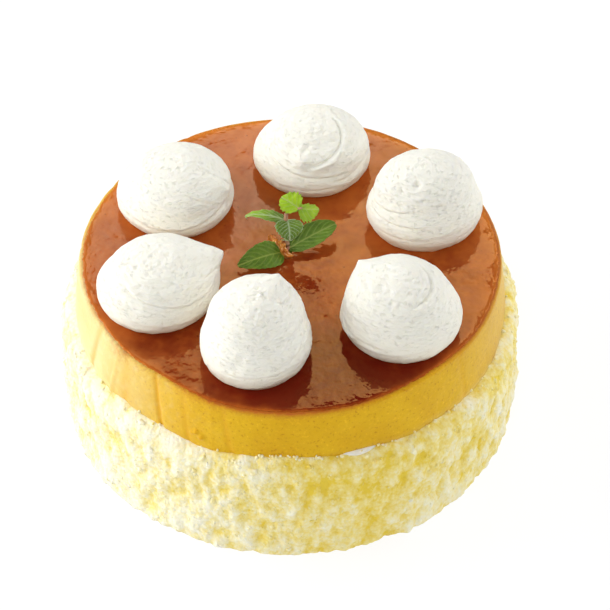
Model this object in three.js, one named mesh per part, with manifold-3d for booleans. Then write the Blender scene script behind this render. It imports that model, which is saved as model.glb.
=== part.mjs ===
// A whole custard flan cake, in millimetres, +Z up, standing on z = 0 with its axis on the Z axis:
// a sponge wrapped in cream and sponge crumbs, a thin bed of cream, a baked custard layer with a caramel
// jelly on top, six piped dollops of whipped cream set in a ring, and a sprig of mint stuck in the middle.

import * as THREE from "three";
import { mergeVertices } from "three/addons/utils/BufferGeometryUtils.js";
import Module from "manifold-3d";

const wasm = await Module();
wasm.setup();

// ---------------------------------------------------------------- driving dimensions
const CAKE_RADIUS = 84.1; // over the crumbs, at the widest
const BASE_HEIGHT = 45.6; // crumbed sponge, floor to cream bed
const CREAM_BED = 1.5; // thickness of the cream between sponge and custard
const CUSTARD_RADIUS = 77.4;
const CUSTARD_HEIGHT = 18.3;
const CARAMEL_RADIUS = 74.8;
const CARAMEL_THICKNESS = 0.6;

const CUSTARD_FOOT = BASE_HEIGHT + CREAM_BED;
const CARAMEL_FOOT = CUSTARD_FOOT + CUSTARD_HEIGHT;
const TOP = CARAMEL_FOOT + CARAMEL_THICKNESS; // the caramel's level surface

const STEM_RADIUS = 0.95;
const SOCKET_GAP = 0.35; // clearance between the mint stem and the hole it has made
const SOCKET_DEPTH = 8; // how far the stem is pushed in
const STEM_FOOT = new THREE.Vector3(-1.2, 2.4, TOP);

const degrees = THREE.MathUtils.degToRad;

// ---------------------------------------------------------------- closed meshes from grids
// Rows of points, each row a closed ring, from the bottom ring to the top one; both ends are
// shut by a fan to an end point. Rings run anticlockwise seen from above.
function ringedSolid(rings, bottom, top) {
  const count = rings[0].length;
  const position = rings.flat().flatMap((p) => [p.x, p.y, p.z]);
  const faces = [];
  for (let row = 0; row + 1 < rings.length; row++)
    for (let i = 0; i < count; i++) {
      const next = (i + 1) % count;
      const a = row * count + i;
      const b = row * count + next;
      faces.push(a, b, b + count, a, b + count, a + count);
    }
  const lid = (rings.length - 1) * count;
  const hub = rings.length * count;
  position.push(bottom.x, bottom.y, bottom.z, top.x, top.y, top.z);
  for (let i = 0; i < count; i++) {
    const next = (i + 1) % count;
    faces.push(next, i, hub, lid + i, lid + next, hub + 1);
  }
  return geometryOf(position, faces);
}

function geometryOf(position, faces) {
  return new THREE.BufferGeometry()
    .setAttribute("position", new THREE.Float32BufferAttribute(position, 3))
    .setIndex(faces);
}

// ---------------------------------------------------------------- joining and cutting
function solidOf(geometry) {
  const bare = geometry.clone();
  bare.deleteAttribute("normal");
  bare.deleteAttribute("uv");
  const merged = mergeVertices(bare, 1e-4);
  return new wasm.Manifold(
    new wasm.Mesh({
      numProp: 3,
      vertProperties: new Float32Array(merged.attributes.position.array),
      triVerts: new Uint32Array(merged.index.array),
    }),
  );
}

function geometryFrom(solid) {
  const mesh = solid.getMesh();
  return geometryOf(Array.from(mesh.vertProperties), Array.from(mesh.triVerts));
}

// ---------------------------------------------------------------- hand-made unevenness
// A repeatable random number from 0 to 1 for each pair of whole numbers.
function lottery(i, j, seed) {
  const wave = Math.sin(i * 127.1 + j * 311.7 + seed * 74.7) * 43758.5453;
  return wave - Math.floor(wave);
}

// Smooth lumps on a cylinder's side, from -1 to 1: `around` cells in a turn, `along` cells per mm.
function lumps(angle, z, around, along, seed) {
  const u = (angle / (2 * Math.PI)) * around;
  const v = z * along;
  const i = Math.floor(u);
  const j = Math.floor(v);
  const ease = (t) => t * t * (3 - 2 * t);
  const corner = (di, dj) => lottery((i + di + 2 * around) % around, j + dj, seed);
  const low = THREE.MathUtils.lerp(corner(0, 0), corner(1, 0), ease(u - i));
  const high = THREE.MathUtils.lerp(corner(0, 1), corner(1, 1), ease(u - i));
  return 2 * THREE.MathUtils.lerp(low, high, ease(v - j)) - 1;
}

// How far the custard's edge strays from a circle: a hollow on the left front, a small one on the right.
const EDGE_HOLLOWS = [
  { at: 231, span: 9, depth: 1.7 },
  { at: 212, span: 16, depth: 1.0 },
  { at: 314, span: 12, depth: 0.8 },
];

function edgeStray(angle) {
  let stray = 0.25 * Math.sin(3 * angle + 0.6) + 0.15 * Math.sin(7 * angle);
  for (const { at, span, depth } of EDGE_HOLLOWS) {
    const turn = THREE.MathUtils.euclideanModulo(angle - degrees(at) + Math.PI, 2 * Math.PI) - Math.PI;
    stray -= depth * Math.exp(-((turn / degrees(span)) ** 2));
  }
  return stray;
}

// A round layer: `profile` is [radius, z] from the foot up, `stray` moves a point of it outwards.
function layer(profile, sides, stray) {
  const rings = profile.map(([radius, z]) =>
    Array.from({ length: sides }, (_, i) => {
      const angle = (i / sides) * 2 * Math.PI;
      const r = radius + stray(angle, z);
      return new THREE.Vector3(r * Math.cos(angle), r * Math.sin(angle), z);
    }),
  );
  const centre = (z) => new THREE.Vector3(0, 0, z);
  return ringedSolid(rings, centre(profile[0][1]), centre(profile[profile.length - 1][1]));
}

// The rounded corner at the top of a layer, `inward` wide and `down` deep, as profile points.
function roundedShoulder(radius, top, inward, down, steps) {
  return Array.from({ length: steps + 1 }, (_, i) => {
    const turn = (i / steps) * (Math.PI / 2);
    return [radius - inward + inward * Math.cos(turn), top - down + down * Math.sin(turn)];
  });
}

// ---------------------------------------------------------------- crumbed sponge
// Barrel-sided, with clumps of crumb standing out of it, and a level top inside a rounded rim.
const BASE_SIDES = 120;
const BASE_ROWS = 8;
const BELLY_HEIGHT = 17; // where the side is fullest
const BELLY = 2.4; // mm of fullness over the whole height
const RIM_WIDTH = 6;
const RIM_DEPTH = 9;
const CLUMP_RELIEF = 1.5;

function crumbClumps(angle, z) {
  const rough =
    0.65 * lumps(angle, z, 44, 0.085, 1) +
    0.55 * lumps(angle, z, 84, 0.16, 2) +
    0.3 * lumps(angle, z, BASE_SIDES, 0.25, 3);
  return CLUMP_RELIEF * rough * THREE.MathUtils.smoothstep(BASE_HEIGHT - z, 0, 2);
}

function bellied(z) {
  return CAKE_RADIUS - BELLY * ((z - BELLY_HEIGHT) / BASE_HEIGHT) ** 2;
}

function baseProfile() {
  const shoulder = BASE_HEIGHT - RIM_DEPTH;
  const side = Array.from({ length: BASE_ROWS }, (_, row) => {
    const z = (row / BASE_ROWS) * shoulder;
    return [bellied(z), z];
  });
  return [...side, ...roundedShoulder(bellied(shoulder), BASE_HEIGHT, RIM_WIDTH, RIM_DEPTH, 4)];
}

const crumbedSponge = layer(baseProfile(), BASE_SIDES, crumbClumps);

// ---------------------------------------------------------------- cream bed
// The spread cream that the custard sits on: it squeezes out a little all round, unevenly.
const CREAM_EDGE = 0.6;

function creamSquash(angle) {
  return 0.7 * Math.sin(4 * angle + 1) + 0.5 * Math.sin(9 * angle + 2) + 0.3 * Math.sin(17 * angle);
}

const creamBed = layer(
  [
    [CUSTARD_RADIUS - 0.4, BASE_HEIGHT],
    [CUSTARD_RADIUS + CREAM_EDGE, BASE_HEIGHT + 0.5],
    [CUSTARD_RADIUS + CREAM_EDGE, BASE_HEIGHT + 1.0],
    [CUSTARD_RADIUS - 0.2, CUSTARD_FOOT],
  ],
  72,
  creamSquash,
);

// ---------------------------------------------------------------- custard and caramel
// The stem's hole, from just above the caramel down into the custard.
function stemSocket() {
  const radius = STEM_RADIUS + SOCKET_GAP;
  const depth = SOCKET_DEPTH + SOCKET_GAP;
  const bore = new THREE.CylinderGeometry(radius, radius, depth + 1, 12)
    .rotateX(Math.PI / 2)
    .translate(STEM_FOOT.x, STEM_FOOT.y, TOP + 1 - (depth + 1) / 2);
  return solidOf(bore);
}

const CUSTARD_SIDES = 84;
const custardProfile = [
  [CUSTARD_RADIUS - 0.8, CUSTARD_FOOT],
  [CUSTARD_RADIUS, CUSTARD_FOOT + 1.2],
  [CUSTARD_RADIUS, CUSTARD_FOOT + 6],
  [CUSTARD_RADIUS - 0.3, CUSTARD_FOOT + 11],
  ...roundedShoulder(CUSTARD_RADIUS - 0.7, CARAMEL_FOOT, 1.8, 1.8, 3),
];
// Shallow upright creases left by the mould's paper, deepest at mid height.
const paperCrease = (angle, z) =>
  edgeStray(angle) - 0.35 * Math.max(0, Math.sin(13 * angle + 0.12 * z)) ** 6;

const custard = geometryFrom(
  solidOf(layer(custardProfile, CUSTARD_SIDES, paperCrease)).subtract(stemSocket()),
);

const caramelProfile = [
  [CARAMEL_RADIUS - 0.1, CARAMEL_FOOT],
  ...roundedShoulder(CARAMEL_RADIUS, TOP, 0.4, 0.4, 3),
];
const caramel = geometryFrom(
  solidOf(layer(caramelProfile, CUSTARD_SIDES, edgeStray)).subtract(stemSocket()),
);

// ---------------------------------------------------------------- whipped cream dollops
// Each is piped as a broad skirt, a crown and a cap, leaning over one another, and pulled off in a peak
// that points at the middle of the cake. `peak` is the way the peak points, in degrees round Z; the leans
// are how far crown and cap are shifted, in mm: first along the peak's way, then to its left.
const DOLLOPS = [
  { x: -42.2, y: 27.8, long: 21.4, wide: 21.2, height: 20.6, peak: -22, lift: 20, reach: 2.2, spread: 0.22,
    crownLean: [1.4, 0.8], capLean: [2.5, 1.0] },
  { x: 7.7, y: 49.2, long: 20.8, wide: 21.7, height: 20.6, peak: -102, lift: 26, reach: 2.0, spread: 0.2,
    crownLean: [-0.5, 1.8], capLean: [-1.5, 3.2] },
  { x: 49.0, y: 19.8, long: 21.4, wide: 19.6, height: 24.6, peak: 205, lift: 40, reach: 0.8, spread: 0.4,
    crownLean: [-0.9, -2.2], capLean: [-2.5, -1.0] },
  { x: 39.2, y: -34.1, long: 21.2, wide: 21.3, height: 24.0, peak: 141, lift: 29, reach: 2.0, spread: 0.2,
    crownLean: [1.7, 0.0], capLean: [1.0, -1.1] },
  { x: -11.6, y: -47.9, long: 20.1, wide: 19.2, height: 28.1, peak: 55, lift: 50, reach: 2.7, spread: 0.18,
    crownLean: [2.2, 1.5], capLean: [2.4, 0.1] },
  { x: -47.1, y: -20.1, long: 21.4, wide: 20.9, height: 20.4, peak: 15.5, lift: 19, reach: 6.3, spread: 0.28,
    crownLean: [1.2, 0.3], capLean: [2.5, 1.0] },
];
const LOBE_BLEND = 0.5; // mm of softening where two lobes of cream meet

// Distance from `from` along `ray` to the far side of an ellipsoid.
function reachOf(lobe, from, ray) {
  const o = from.clone().sub(lobe.centre).divide(lobe.radii);
  const d = ray.clone().divide(lobe.radii);
  const a = d.dot(d);
  const b = o.dot(d);
  return (-b + Math.sqrt(b * b - a * (o.dot(o) - 1))) / a;
}

function softMax(values, softness) {
  const most = Math.max(...values);
  const sum = values.reduce((total, v) => total + Math.exp((v - most) / softness), 0);
  return most + softness * Math.log(sum);
}

// The dollop's lobes in its own frame: +X towards the peak, z = 0 on the caramel.
function lobesOf({ long, wide, height, crownLean, capLean }) {
  const lobe = (lean, z, across, tall) => ({
    centre: new THREE.Vector3(lean[0], lean[1], z * height),
    radii: new THREE.Vector3(across * long, across * wide, tall * height),
  });
  return [
    lobe([0, 0], 0.28, 1.0, 0.54),
    lobe(crownLean, 0.52, 0.88, 0.49),
    lobe(capLean, 0.66, 0.62, 0.37),
  ];
}

const DOLLOP_RINGS = 17;
const DOLLOP_SIDES = 26;

function dollop(sizes) {
  const lobes = lobesOf(sizes);
  const heart = new THREE.Vector3(0, 0, 0.4 * sizes.height);
  const lift = degrees(sizes.lift);
  const peak = new THREE.Vector3(Math.cos(lift), 0, Math.sin(lift));
  const side = new THREE.Vector3(0, 1, 0);
  const crest = new THREE.Vector3().crossVectors(peak, side);
  // The surface at `away` from the peak's axis and `turn` round it, both in radians.
  const surface = (away, turn) => {
    const ray = peak
      .clone()
      .multiplyScalar(Math.cos(away))
      .addScaledVector(side, Math.sin(away) * Math.cos(turn))
      .addScaledVector(crest, Math.sin(away) * Math.sin(turn));
    const body = softMax(lobes.map((lobe) => reachOf(lobe, heart, ray)), LOBE_BLEND);
    const spike = sizes.reach * Math.exp(-((away / sizes.spread) ** 1.2));
    return heart.clone().addScaledVector(ray, body + spike);
  };
  const rings = [];
  for (let ring = 1; ring < DOLLOP_RINGS; ring++) {
    const share = 1 - ring / DOLLOP_RINGS; // from behind the dollop to its peak
    const away = Math.PI * (0.65 * share + 0.35 * share * share);
    rings.push(
      Array.from({ length: DOLLOP_SIDES }, (_, i) => surface(away, (i / DOLLOP_SIDES) * 2 * Math.PI)),
    );
  }
  const whole = solidOf(ringedSolid(rings, surface(Math.PI, 0), surface(0, 0)));
  const below = solidOf(new THREE.BoxGeometry(90, 90, 40).translate(0, 0, -20));
  return geometryFrom(whole.subtract(below))
    .rotateZ(degrees(sizes.peak))
    .translate(sizes.x, sizes.y, TOP);
}

// ---------------------------------------------------------------- mint sprig
// A stem with three pairs of leaves, each pair smaller and lighter than the one below.
const LEAF_THICKNESS = 0.55;

// from, to: the midrib's ends; up: the way the upper face looks; half: half width; taper: how much fuller the
// blade is near its stalk; arch: rise of the midrib between its ends; fold: how far each half blade is lifted
// at the stalk and at the tip, in degrees; teeth: along each edge.
const LEAVES = {
  rightLow: { from: [-0.7, 2.5, 1.9], to: [16.4, 11.7, 5.6], up: [0.05, -0.45, 1], half: 4.7, taper: 0.16,
    arch: 1.0, fold: [[10, 10], [16, 16]], teeth: 9, tooth: 0.03, rows: 14 },
  leftLow: { from: [-1.9, 2.1, 1.8], to: [-18.6, -5.9, 2.4], up: [-0.1, -0.3, 1], half: 4.5, taper: 0.7,
    arch: 1.7, fold: [[8, 8], [8, 8]], teeth: 9, tooth: 0.03, rows: 14 },
  leftMiddle: { from: [-1.6, 4.4, 14.4], to: [-16.2, 7.7, 12.6], up: [0.1, -0.2, 1], half: 3.2, taper: 0.5,
    arch: 1.8, fold: [[-35, 60], [25, -5]], teeth: 7, tooth: 0.05, rows: 12 },
  frontMiddle: { from: [-0.9, 3.9, 14.8], to: [-0.1, -1.7, 10.2], up: [0, 0.35, 1], half: 4.8, taper: 0.5,
    arch: 1.6, fold: [[6, 6], [10, 10]], teeth: 7, tooth: 0.05, rows: 12 },
  leftTop: { from: [3.1, 3.7, 21.0], to: [-3.2, 8.4, 21.8], up: [0.15, -0.5, 1], half: 4.6, taper: 0.4,
    arch: 0.5, fold: [[8, 8], [8, 8]], teeth: 5, tooth: 0.1, rows: 11 },
  rightTop: { from: [3.1, 3.7, 21.0], to: [10.2, 3.2, 21.2], up: [0, 0, 1], half: 4.9, taper: 0.3,
    arch: -0.2, fold: [[-22, -22], [-44, -44]], teeth: 5, tooth: 0.1, rows: 11 },
};
const LEAF_COLUMNS = 6;

function bladeOutline(u, taper) {
  return Math.max(0.07, Math.sqrt(4 * u * (1 - u)) * (1 + taper * (0.4 - u)));
}

function leaf({ from, to, up, half, taper, arch, fold, teeth, tooth, rows }) {
  const base = new THREE.Vector3(...from);
  const along = new THREE.Vector3(...to).sub(base);
  const across = new THREE.Vector3().crossVectors(new THREE.Vector3(...up), along).normalize();
  const face = new THREE.Vector3().crossVectors(along, across).normalize();
  const point = (row, column, depth) => {
    const u = row / rows;
    const v = (2 * column) / LEAF_COLUMNS - 1;
    const notch = 1 + tooth * (row % 2 ? 1 : -1) * (Math.abs(v) === 1 ? 1 : 0);
    const out = v * half * bladeOutline(u, taper) * notch;
    const [atStalk, atTip] = fold[v < 0 ? 1 : 0];
    const lift = degrees(THREE.MathUtils.lerp(atStalk, atTip, THREE.MathUtils.smoothstep(u, 0.1, 0.8)));
    const ripple = 0.22 * Math.sin(teeth * Math.PI * u) * Math.abs(v);
    return base
      .clone()
      .addScaledVector(along, u)
      .addScaledVector(across, out * Math.cos(lift))
      .addScaledVector(face, Math.abs(out) * Math.sin(lift) + 4 * arch * u * (1 - u) + ripple - depth)
      .add(new THREE.Vector3(0, 0, TOP));
  };
  const position = [];
  const faces = [];
  const stride = LEAF_COLUMNS + 1;
  const count = (rows + 1) * stride;
  for (const depth of [0, LEAF_THICKNESS])
    for (let row = 0; row <= rows; row++)
      for (let column = 0; column < stride; column++) {
        const p = point(row, column, depth);
        position.push(p.x, p.y, p.z);
      }
  const quad = (a, b, c, d) => faces.push(a, b, c, a, c, d);
  for (let row = 0; row < rows; row++)
    for (let column = 0; column < LEAF_COLUMNS; column++) {
      const a = row * stride + column;
      quad(a, a + stride, a + stride + 1, a + 1);
      quad(a + count, a + count + 1, a + count + stride + 1, a + count + stride);
    }
  const rim = [];
  for (let column = 0; column < LEAF_COLUMNS; column++) rim.push(column);
  for (let row = 0; row < rows; row++) rim.push(row * stride + LEAF_COLUMNS);
  for (let column = LEAF_COLUMNS; column > 0; column--) rim.push(rows * stride + column);
  for (let row = rows; row > 0; row--) rim.push(row * stride);
  rim.forEach((a, i) => {
    const b = rim[(i + 1) % rim.length];
    quad(a, b, b + count, a + count);
  });
  return geometryOf(position, faces);
}

function stem() {
  const route = [
    [0, 0, -SOCKET_DEPTH],
    [0, 0, -0.5],
    [0.1, 0.4, 4],
    [-0.2, 0.9, 9],
    [-0.5, 1.4, 14],
    [-0.1, 2.1, 17.5],
    [1.6, 1.8, 20],
    [4.6, 1.3, 20.9],
  ].map(([x, y, z]) => new THREE.Vector3(x, y, z).add(STEM_FOOT));
  const section = new THREE.Shape();
  section.absarc(0, 0, STEM_RADIUS, 0, 2 * Math.PI);
  return new THREE.ExtrudeGeometry(section, {
    extrudePath: new THREE.CatmullRomCurve3(route),
    steps: 14,
    curveSegments: 7,
  });
}

function mintSprig() {
  let sprig = solidOf(stem());
  for (const sizes of Object.values(LEAVES)) sprig = sprig.add(solidOf(leaf(sizes)));
  return geometryFrom(sprig);
}

// ---------------------------------------------------------------- the whole cake
const finish = (color, roughness) => new THREE.MeshStandardMaterial({ color, roughness, metalness: 0 });
const CREAM_WHITE = 0xf6f3e8;

const cake = new THREE.Group();

function place(name, geometry, material) {
  const mesh = new THREE.Mesh(geometry, material);
  mesh.name = name;
  cake.add(mesh);
}

place("crumbed_sponge", crumbedSponge, finish(0xf2e6a8, 0.95));
place("cream_bed", creamBed, finish(CREAM_WHITE, 0.6));
place("custard_layer", custard, finish(0xe6b83a, 0.45));
place("caramel_layer", caramel, finish(0x8a4517, 0.12));
DOLLOPS.forEach((sizes, i) => place(`cream_dollop_${i + 1}`, dollop(sizes), finish(CREAM_WHITE, 0.55)));
place("mint_sprig", mintSprig(), finish(0x5f8a2c, 0.5));

export default cake;
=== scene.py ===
import random
from math import acos, atan2, cos, degrees, exp, hypot, log, pi, radians, sin, sqrt

import bmesh
import bpy
import numpy as np
from bmesh import ops
from mathutils import Matrix, Vector, noise


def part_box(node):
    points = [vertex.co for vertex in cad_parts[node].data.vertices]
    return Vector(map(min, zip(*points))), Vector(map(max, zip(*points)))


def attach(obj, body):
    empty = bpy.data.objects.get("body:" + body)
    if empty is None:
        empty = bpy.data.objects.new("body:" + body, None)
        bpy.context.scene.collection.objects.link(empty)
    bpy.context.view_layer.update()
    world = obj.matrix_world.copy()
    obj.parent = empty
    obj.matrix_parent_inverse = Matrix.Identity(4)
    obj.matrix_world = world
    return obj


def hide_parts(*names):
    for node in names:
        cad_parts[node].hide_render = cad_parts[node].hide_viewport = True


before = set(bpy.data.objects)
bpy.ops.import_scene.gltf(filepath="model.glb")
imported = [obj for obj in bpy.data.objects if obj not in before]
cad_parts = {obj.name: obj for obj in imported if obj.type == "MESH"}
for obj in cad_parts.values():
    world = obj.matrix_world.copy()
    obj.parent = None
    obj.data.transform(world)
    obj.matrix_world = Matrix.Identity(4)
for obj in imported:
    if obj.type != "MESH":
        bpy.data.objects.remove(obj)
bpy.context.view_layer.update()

drift = noise.noise  # smooth random ups and downs in space, from about -1 to 1

# ---------- the coated sponge
# A round of sponge spread all over with whipped cream and pressed full of sieved sponge crumb.
# This piece is the coat: cream with the crumb that has sunk into it, thick at the belly and
# rounded over at the top, where it is pressed up round the custard's foot.
mm = 0.001
sponge_low, sponge_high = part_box("crumbed_sponge")
coat_top = sponge_high.z
coat_radius = (sponge_high.x - sponge_low.x) / 2 - 0.8 * mm
belly_height = 17 * mm
belly = 2.4 * mm
rim_depth = 9 * mm
rim_calm = 0.75  # how much less the coat stands out sideways at the top of its rim
custard_low, custard_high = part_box("custard_layer")
rim_top = custard_low.z - 1.4 * mm
foot_radius = (custard_high.x - custard_low.x) / 2 + 0.2 * mm


def held(share):
    """A share kept between 0 and 1."""
    return min(1, max(0, share))


def polar(spot):
    """A point's distance from the cake's axis, and its way round in radians."""
    return Vector((spot.x, spot.y)).length, atan2(spot.y, spot.x)


def degrees_past(angle, middle):
    """How far an angle in radians is past a way round in degrees, from -180 to 180."""
    return (degrees(angle) - middle + 180) % 360 - 180


def hump(angle, middle, span):
    """1 at a way round the cake, fading to 0 a span or two to either side, both in degrees."""
    return exp(-((degrees_past(angle, middle) / span) ** 2))


def edge_stray(angle):
    """How far the tin's edge strays from a true circle, in metres: bulges above 0, hollows below."""
    stray = 0.2 * sin(3 * angle + 0.6) + 0.1 * sin(7 * angle)
    for middle, span, depth in ((233, 11, 2.2), (211, 14, 1.3), (310, 14, 0.7), (105, 20, 0.4)):
        stray -= depth * hump(angle, middle, span)
    return stray * mm


def rim_rise(angle):
    """How far the coat's rim is heaped up against the custard, in metres; sunk below 0."""
    rise = 0.6 * drift(Vector((cos(angle), sin(angle), 4)) * 6)
    for middle, span, height in (
        (270, 9, 0.9), (248, 6, -1.0), (225, 12, 0.5), (205, 10, -2.5), (300, 8, -0.8), (332, 24, -3.0),
    ):
        rise += height * hump(angle, middle, span)
    return rise * mm


def rim_share(z):
    """How far up the rounded rim a height is: 0 below it, 1 at its top."""
    return held((z - coat_top + rim_depth) / rim_depth)


def rim_shift(angle, rise):
    """How far sideways and up the coat's rim goes to follow the custard's foot, in metres."""
    return 0.3 * edge_stray(angle) * rise ** 2, rim_rise(angle) * rise ** 2


def bellied(z):
    """The coat's radius at a height: widest a little above the floor."""
    return coat_radius - belly * ((z - belly_height) / coat_top) ** 2


def coat_outline(t):
    """The coat's side from the floor, t = 0, over the rounded rim to the custard's foot, t = 1."""
    shoulder = coat_top - rim_depth
    side = 0.70  # the share of the outline that is the side, below the rim
    if t < side:
        z = t / side * shoulder
        return bellied(z), z
    turn = (t - side) / (1 - side) * pi / 2
    return (
        foot_radius + (bellied(shoulder) - foot_radius) * cos(turn),
        shoulder + (rim_top - shoulder) * sin(turn),
    )


def lumps(p):
    """Rounded lumps packed a unit apart: about 0.5 on top of one, -0.5 where they meet."""
    nearest = noise.voronoi(p)[0][0]
    return 0.5 - 1.5 * nearest * nearest


def crumb_relief(p):
    """How far packed crumb stands out at a point, in metres."""
    swell = 1.0 * drift(p * 55)
    clump = 0.8 * lumps(Vector((p.x, p.y, 0.55 * p.z)) * 190 + Vector((7, 3, 1)))
    ridge = 1.0 * drift(Vector((p.x, p.y, 0.6 * p.z)) * 250)
    knob = 0.45 * lumps(p * 450)
    pebble = 0.15 * lumps(p * 850)
    return (swell + clump + ridge + knob + pebble) * mm


# Places where the cream shows through: (way round in degrees, height in mm, spread in mm).
bare_reach = 0.082
bare_places = (
    (208, 44, 7), (222, 45, 8), (238, 43, 7), (214, 36, 5), (-72, 45, 4), (-24, 45, 5), (-14, 44, 5),
    (-38, 42, 4), (228, 3, 7), (247, 2, 5), (-42, 4, 6), (-25, 14, 5), (95, 30, 8), (140, 12, 7), (40, 38, 7),
)


def bare_cream(p):
    """Above 0.5 where the cream coat is bare of crumb."""
    patch = 0.05 + 0.4 * drift(p * 48 + Vector((3, 0, 5))) + 0.3 * drift(p * 160)
    for turn, height, spread in bare_places:
        turn = radians(turn)
        apart = Vector((p.x - bare_reach * cos(turn), p.y - bare_reach * sin(turn), p.z - height * mm))
        patch += 0.5 * exp(-((apart.length / (spread * mm)) ** 2))
    return patch


def standing_out(p):
    """How far the coat stands out at a point: less where the cream is bare."""
    return crumb_relief(p) * (1 - 0.65 * held((bare_cream(p) - 0.42) / 0.2))


def painted_side_shade(p):
    """How much more golden the crumb is painted on the side a point lies on: painted shade, more golden at the front
    and on the right, paler on the brightly lit left.
    """
    from_front = degrees(atan2(p.y, p.x)) + 80
    aside = p.x / coat_radius
    return 0.55 * exp(-((from_front / 24) ** 2)) + 0.25 * max(0, aside) + 0.12 * min(0, aside) - 0.12


def turned_round(outline, steps):
    """A closed mesh of an outline, points of (radius, height) from axis to axis, spun about Z."""
    bm = bmesh.new()
    points = [bm.verts.new((radius, 0, z)) for radius, z in outline]
    edges = [bm.edges.new(pair) for pair in zip(points, points[1:])]
    ops.spin(
        bm, geom=points + edges, cent=(0, 0, 0), axis=(0, 0, 1), dvec=(0, 0, 0),
        angle=2 * pi, steps=steps, use_merge=True, use_duplicate=False,
    )
    ops.remove_doubles(bm, verts=bm.verts, dist=1e-6)
    ops.dissolve_degenerate(bm, edges=bm.edges, dist=1e-7)
    ops.recalc_face_normals(bm, faces=bm.faces)
    return bm


def placed(name, data):
    """A new object in the scene, at the origin and unturned."""
    piece = bpy.data.objects.new(name, data)
    bpy.context.scene.collection.objects.link(piece)
    return piece


def smooth_piece(name, mesh, material):
    """A mesh as a smooth-shaded object of one material."""
    mesh.polygons.foreach_set("use_smooth", [True] * len(mesh.polygons))
    mesh.materials.append(material)
    return placed(name, mesh)


def carried(bm, *names):
    """New numbers that each corner carries for the material, one for each name."""
    return [bm.verts.layers.float.new(name) for name in names]


def finished(name, bm, material, node_names):
    """Turns a bmesh into a smooth-shaded piece of the cake."""
    mesh = bpy.data.meshes.new(name)
    bm.to_mesh(mesh)
    bm.free()
    piece = smooth_piece(name, mesh, material)
    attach(piece, "root")
    if node_names:
        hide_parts(*node_names)
    return piece


def finish(name, **sockets):
    """A new material whose shader has the given values on its own sockets."""
    material = bpy.data.materials.new(name)
    material.use_nodes = True
    for socket, value in sockets.items():
        material.node_tree.nodes["Principled BSDF"].inputs[socket.replace("_", " ")].default_value = value
    return material


def join(source, goal):
    """Links a node's output to another node's input."""
    source.id_data.links.new(source, goal)


def feed(material, socket, source):
    """Feeds one of the shader's sockets from a node's output."""
    join(source, material.node_tree.nodes["Principled BSDF"].inputs[socket])


def add(material, kind, **values):
    """A new node in a material, with values for its sockets."""
    node = material.node_tree.nodes.new("ShaderNode" + kind)
    for socket, value in values.items():
        node.inputs[socket.replace("_", " ")].default_value = value
    return node


def speckle(material, scale, detail=3, roughness=0.6, squash=None):
    """Cloudy noise over the piece, which a squash of (x, y, z) makes streaky."""
    place = add(material, "TexCoord").outputs["Object"]
    texture = add(material, "TexNoise", Scale=scale, Detail=detail, Roughness=roughness)
    if squash:
        mapping = add(material, "Mapping", Scale=squash)
        join(place, mapping.inputs["Vector"])
        place = mapping.outputs["Vector"]
    join(place, texture.inputs["Vector"])
    return texture.outputs["Fac"]


def ramp(material, factor, *stops):
    """Colours along a factor: stops of (position, colour)."""
    node = add(material, "ValToRGB")
    while len(node.color_ramp.elements) < len(stops):
        node.color_ramp.elements.new(0.5)
    for element, (position, colour) in zip(node.color_ramp.elements, stops):
        element.position = position
        element.color = (*colour, 1)
    join(factor, node.inputs["Fac"])
    return node.outputs["Color"]


def blend(material, factor, first, second, mode="MIX"):
    """Mixes two colour sockets by a factor, a socket or a number."""
    node = add(material, "Mix")
    node.data_type = "RGBA"
    node.blend_type = mode
    if isinstance(factor, float):
        node.inputs[0].default_value = factor
    else:
        join(factor, node.inputs[0])
    for socket, colour in ((node.inputs[6], first), (node.inputs[7], second)):
        if isinstance(colour, tuple):
            socket.default_value = (*colour, 1)
        else:
            join(colour, socket)
    return node.outputs[2]


def total(material, *terms, start=0.0):
    """Adds up pairs of (height socket, its share), from a start."""
    result = None
    for height, share in terms:
        node = add(material, "Math")
        node.operation = "MULTIPLY_ADD"
        join(height, node.inputs[0])
        node.inputs[1].default_value = share
        if result:
            join(result, node.inputs[2])
        else:
            node.inputs[2].default_value = start
        result = node.outputs[0]
    return result


def attribute(material, name):
    """The number a piece carries on its corners under a name."""
    node = add(material, "Attribute")
    node.attribute_name = name
    return node.outputs["Fac"]


def bumped(material, height, depth, strength=1.0):
    """Fine relief from a height socket, up to a depth in metres."""
    bump = add(material, "Bump", Strength=strength, Distance=depth)
    join(height, bump.inputs["Height"])
    feed(material, "Normal", bump.outputs["Normal"])


def coloured(material, colour):
    """Gives a material its colour from a node's output."""
    feed(material, "Base Color", colour)


def crumbly(material, scale):
    """Distance from the middles of ragged grains, which are about 1 / scale metres apart."""
    place = add(material, "TexCoord").outputs["Object"]
    cloud = add(material, "TexNoise", Scale=1.5 * scale, Detail=1.0)
    shift = add(material, "VectorMath")
    shift.operation = "MULTIPLY_ADD"
    shift.inputs[1].default_value = (0.5 / scale, 0.5 / scale, 0.5 / scale)
    grains = add(material, "TexVoronoi", Scale=scale)
    join(place, cloud.inputs["Vector"])
    join(cloud.outputs["Color"], shift.inputs[0])
    join(place, shift.inputs[2])
    join(shift.outputs[0], grains.inputs["Vector"])
    return grains.outputs["Distance"]


def crumb_tone_and_shade(material, tint_name):
    """How golden the crumb is: tone that differs at random, with painted shade that makes the deep hollows and the gaps
    between grains the most golden.
    """
    return total(
        material, (attribute(material, tint_name), 0.44), (speckle(material, 300, 3, 0.6, (1, 1, 0.6)), 0.74),
        (crumbly(material, 760), 0.18), (speckle(material, 1300), 0.22), start=-0.285,
    )


def crumb_grain(material):
    """The height of the crumb's finest grain."""
    return total(material, (crumbly(material, 700), -0.5), (speckle(material, 850), 0.8))
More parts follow.
